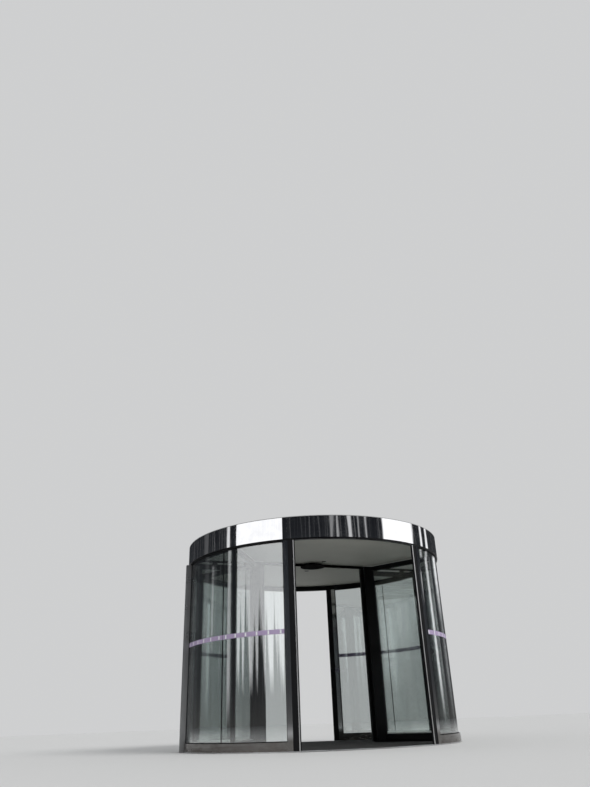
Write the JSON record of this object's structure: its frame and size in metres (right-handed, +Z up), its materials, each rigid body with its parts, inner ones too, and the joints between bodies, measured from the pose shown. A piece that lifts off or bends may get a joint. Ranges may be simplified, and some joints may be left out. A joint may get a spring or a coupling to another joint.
{
  "type": "revolving door",
  "caption": "Round glazed entrance door with mirror steel posts and fascia. Its winged rotor turns with glass display cases, and glazed leaves slide in the rotor's middle.",
  "frame": {"origin": "on the drum's vertical axis, at the ground under the floor ring", "axes": "+Z up along the drum's axis; -Y to the street doorway, +Y to the inner doorway; the facade line runs along X"},
  "size_m": [3.7, 3.6, 2.572],
  "materials": {
    "polished_steel": "mirror polished stainless steel",
    "brushed_steel": "satin stainless steel",
    "glass": "clear curved and flat safety glass",
    "mat": "ribbed black entrance matting",
    "black_rubber": "matt black rubber",
    "black_paint": "satin black coating",
    "ceiling_paint": "matt light grey paint",
    "grey_paint": "matt grey paint",
    "cast_steel": "plain machined casting",
    "white_board": "white laminate",
    "brush": "black bristle"
  },
  "bodies": {
    "drum": {"base_rail_front_left": "polished_steel", "wall_glass_front_left": "glass", "mirror_post_front_left": "polished_steel", "base_rail_front_right": "polished_steel", "wall_glass_front_right": "glass", "mirror_post_front_right": "polished_steel", "base_rail_rear_right": "polished_steel", "wall_glass_rear_right": "glass", "mirror_post_rear_right": "polished_steel", "base_rail_rear_left": "polished_steel", "wall_glass_rear_left": "glass", "mirror_post_rear_left": "polished_steel", "floor_ring": "brushed_steel", "floor_mat": "mat", "glass_joints": "black_rubber", "jambs_front": "black_rubber", "jambs_rear": "black_rubber", "side_posts": "brushed_steel", "soffit_trim": "black_paint", "fascia_front": "polished_steel", "fascia_rear": "polished_steel", "ceiling": "ceiling_paint", "roof_cover": "grey_paint", "bearing_housing": "cast_steel"},
    "rotor": {"drive_hub": "black_paint", "leaf_track": "black_paint", "inner_posts_right": "black_paint", "plinth_right": "black_paint", "display_boards_right": "white_board", "corner_posts_right": "black_paint", "side_glass_right": "glass", "outer_glass_right": "glass", "side_rails_right": "black_paint", "curved_rail_right": "black_paint", "top_panel_right": "ceiling_paint", "inner_posts_left": "black_paint", "plinth_left": "black_paint", "display_boards_left": "white_board", "corner_posts_left": "black_paint", "side_glass_left": "glass", "outer_glass_left": "glass", "side_rails_left": "black_paint", "curved_rail_left": "black_paint", "top_panel_left": "ceiling_paint", "rotor_brushes": "brush"},
    "leaf_right": {"leaf_frame_right": "black_paint", "leaf_glass_right": "glass"},
    "leaf_left": {"leaf_frame_left": "black_paint", "leaf_glass_left": "glass"}
  },
  "joints": [
    {"name": "rotor_turn", "type": "hinge", "parent": "drum", "child": "rotor", "pos_m": [0, 0, 0], "axis": [0, 0, 1], "continuous": true},
    {"name": "leaf_right_slide", "type": "slide", "parent": "rotor", "child": "leaf_right", "axis": [-0.999, -0.0436, 0], "range_m": [0, 0.752]},
    {"name": "leaf_left_slide", "type": "slide", "parent": "rotor", "child": "leaf_left", "axis": [0.999, 0.0436, 0], "range_m": [0, 0.752]}
  ],
  "couplings": [
    {"joint": "leaf_left_slide", "follows": "leaf_right_slide", "ratio": 1}
  ]
}
